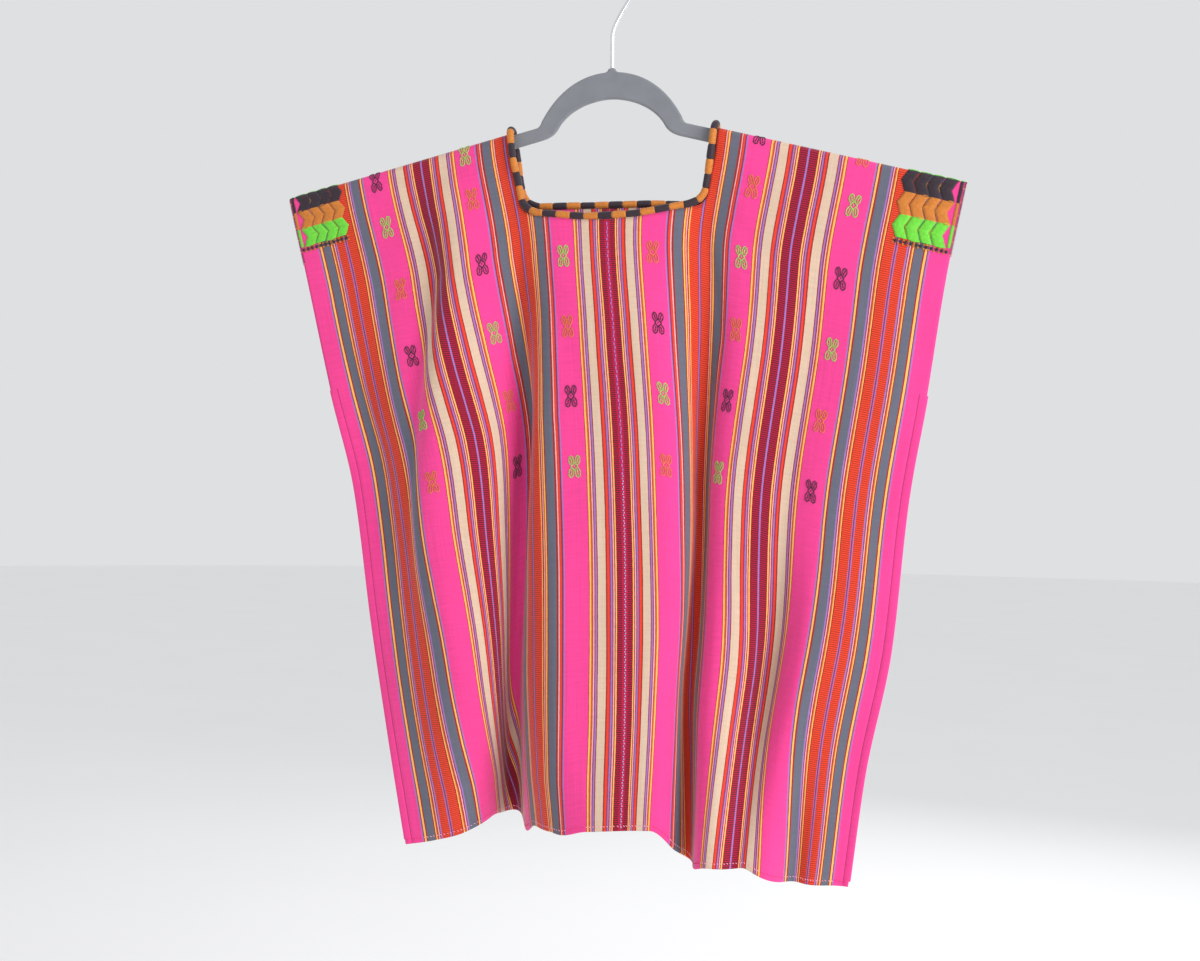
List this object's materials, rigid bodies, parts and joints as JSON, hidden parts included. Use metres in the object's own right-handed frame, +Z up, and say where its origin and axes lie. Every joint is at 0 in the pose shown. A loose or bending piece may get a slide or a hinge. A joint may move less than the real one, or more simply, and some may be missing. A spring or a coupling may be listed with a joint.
{
  "type": "huipil blouse on a hanger",
  "caption": "Striped handwoven sleeveless blouse with a bound square neck and embroidered shoulders, hanging in long soft folds from a flocked hanger with a wire hook.",
  "frame": {"origin": "inside the crown of the hook, where a rail carries it", "axes": "+Z up, -Y out of the front of the blouse, +X towards the viewer's right"},
  "size_m": [0.5664, 0.1095, 0.7581],
  "materials": {
    "striped_cloth": "handwoven, matt, lengthwise stripes",
    "binding_thread": "wrapped thread, soft sheen",
    "embroidery_thread": "satin stitch",
    "flocked_plastic": "velvet flock",
    "hook_steel": "bright"
  },
  "bodies": {
    "root": {"panel_left": "striped_cloth", "panel_right": "striped_cloth", "shoulder_patch_left": "embroidery_thread", "shoulder_patch_right": "embroidery_thread", "neck_binding": "binding_thread", "hanger_body": "flocked_plastic", "hanger_hook": "hook_steel"}
  },
  "joints": []
}
